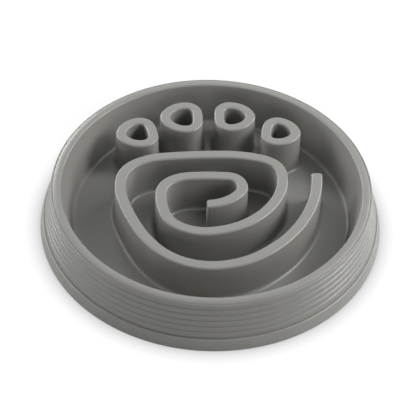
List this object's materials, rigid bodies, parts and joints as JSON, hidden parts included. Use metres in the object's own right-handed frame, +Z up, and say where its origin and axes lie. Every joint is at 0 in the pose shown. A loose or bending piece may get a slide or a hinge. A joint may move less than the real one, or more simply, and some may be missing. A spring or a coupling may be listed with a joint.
{
  "type": "slow feeder bowl",
  "caption": "Round slow feeder bowl: a shallow dish whose floor carries a paw-shaped maze of a spiral wall and toe cups, with a flared grooved skirt and a grip ring round its foot.",
  "frame": {"origin": "on the table, under the middle of the bowl", "axes": "+Z up out of the dish, +Y towards the toes of the paw, +X to the right seen from above"},
  "size_m": [0.29, 0.29, 0.043],
  "materials": {
    "bowl_plastic": "satin",
    "ring_rubber": "satin"
  },
  "bodies": {
    "root": {"bowl_shell": "bowl_plastic", "spiral_wall": "bowl_plastic", "toe_cup_outer_left": "bowl_plastic", "toe_cup_inner_left": "bowl_plastic", "toe_cup_inner_right": "bowl_plastic", "toe_cup_outer_right": "bowl_plastic", "grip_ring": "ring_rubber"}
  },
  "joints": []
}
